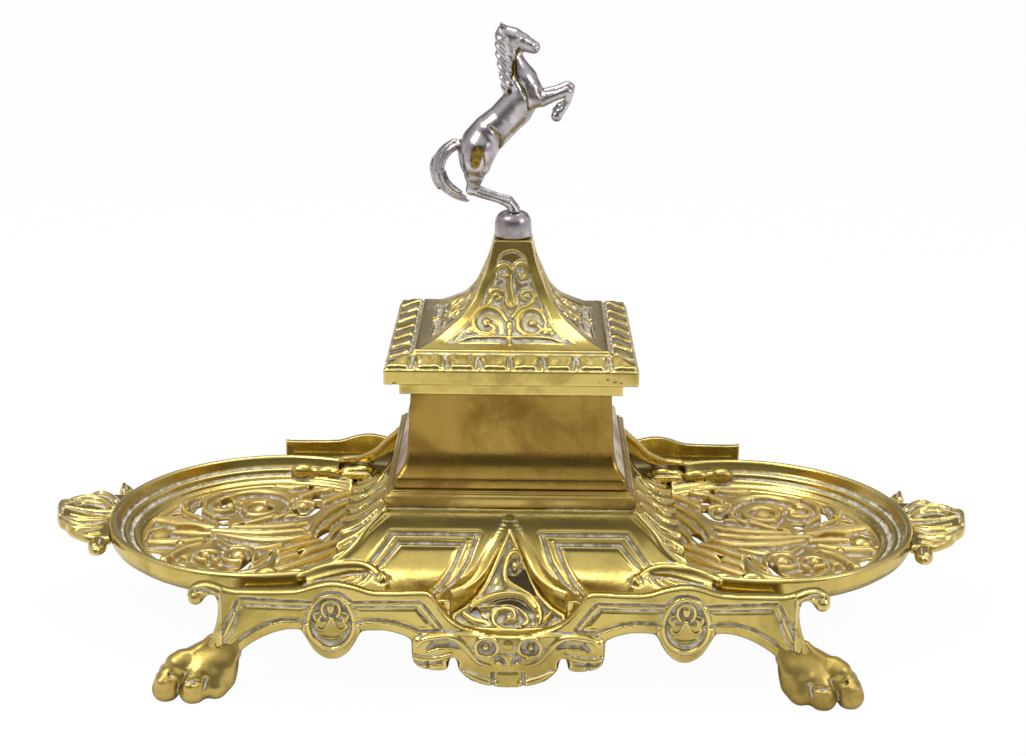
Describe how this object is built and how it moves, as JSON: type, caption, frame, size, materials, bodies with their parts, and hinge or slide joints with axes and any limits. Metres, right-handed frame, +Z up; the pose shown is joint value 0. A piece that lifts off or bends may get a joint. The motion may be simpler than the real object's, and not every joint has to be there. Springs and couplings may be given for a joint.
{
  "type": "desk inkstand",
  "caption": "Cast brass desk inkstand: square ink box with a hinged pagoda lid and rearing horse, pierced round side trays, pen channels and paw feet.",
  "frame": {"origin": "middle of the footprint, on the table under the paws", "axes": "+X to the right tray as the front is seen, +Y to the rear (the lid's hinge side), +Z up; the front faces -Y"},
  "size_m": [0.3056, 0.1576, 0.1952],
  "materials": {
    "brass": "polished, with grey-white polish residue in the recesses",
    "pierced_brass": "polished faces with darker pierced edges",
    "dull_brass": "duller, mottled olive patina",
    "silver_plate": "worn silver or nickel plate over brass, brass showing in the creases",
    "white_glaze": "opaque white glaze",
    "steel": "plain turned steel"
  },
  "bodies": {
    "base": {"centre_plate": "brass", "front_fret": "pierced_brass", "rear_fret": "pierced_brass", "left_tray_rim": "brass", "right_tray_rim": "brass", "left_tray_grille": "pierced_brass", "right_tray_grille": "pierced_brass", "left_tray_finial": "brass", "right_tray_finial": "brass", "front_apron": "brass", "rear_apron": "brass", "front_left_paw": "brass", "front_right_paw": "brass", "rear_left_paw": "brass", "rear_right_paw": "brass", "apron_screws": "steel", "tray_screws": "steel", "box_plinth": "dull_brass", "ink_box": "dull_brass", "box_collar": "brass", "box_bolts": "steel", "hinge_pin": "steel"},
    "lid": {"lid": "brass", "lid_hinge_leaf": "brass", "finial_base": "silver_plate", "horse": "silver_plate", "finial_nut": "steel"},
    "ink_pot": {"ink_pot": "white_glaze"}
  },
  "joints": [
    {"name": "lid_hinge", "type": "hinge", "parent": "base", "child": "lid", "pos_m": [0, 0.042, 0.0897], "axis": [-1, 0, 0], "range_deg": [0, 105]},
    {"name": "ink_pot_lift", "type": "slide", "parent": "base", "child": "ink_pot", "axis": [0, 0, 1], "range_m": [0, 0.006]}
  ]
}
